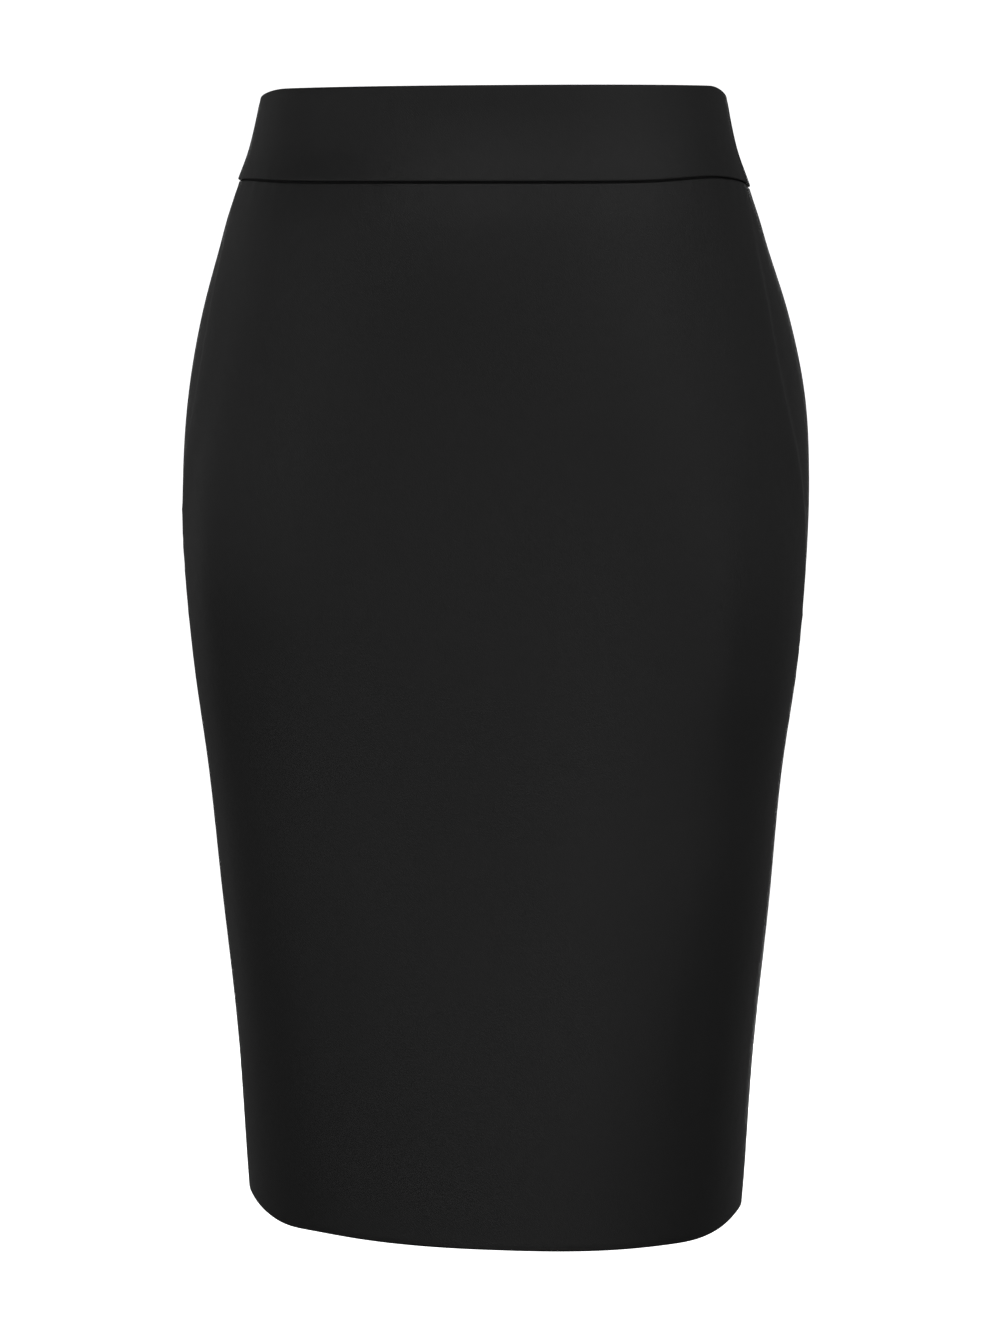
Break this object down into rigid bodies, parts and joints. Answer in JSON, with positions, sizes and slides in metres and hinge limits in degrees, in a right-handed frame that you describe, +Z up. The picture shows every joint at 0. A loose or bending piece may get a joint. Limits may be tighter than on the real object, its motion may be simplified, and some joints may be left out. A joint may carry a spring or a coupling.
{
  "type": "pencil skirt",
  "caption": "Knee-length pencil skirt with a wide shaped waistband, close round the hips and narrowing to the hem, open at waist and hem, with a back zip and vent.",
  "frame": {"origin": "the middle of the waistband's height, on the skirt's own vertical axis, where the wearer's waist holds it", "axes": "+Z up, +X to the wearer's left, +Y to the wearer's back"},
  "size_m": [0.3517, 0.265, 0.6239],
  "materials": {
    "skirt_cloth": "smooth dense black suiting with a faint sheen",
    "waistband_cloth": "the same cloth, doubled and firm",
    "zip_tape": "matte black woven tape",
    "zip_metal": "black satin lacquer"
  },
  "bodies": {
    "skirt": {"front_panel": "skirt_cloth", "back_panel_left": "skirt_cloth", "back_panel_right": "skirt_cloth", "waistband_front": "waistband_cloth", "waistband_back_left": "waistband_cloth", "waistband_back_right": "waistband_cloth", "zip_tape": "zip_tape", "zip_slider": "zip_metal"},
    "zip_pull": {"zip_pull": "zip_metal"}
  },
  "joints": [
    {"name": "zip_pull_hinge", "type": "hinge", "parent": "skirt", "child": "zip_pull", "pos_m": [-0.00119, 0.09168, 0.01347], "axis": [1, 0, 0], "range_deg": [0, 170]}
  ]
}
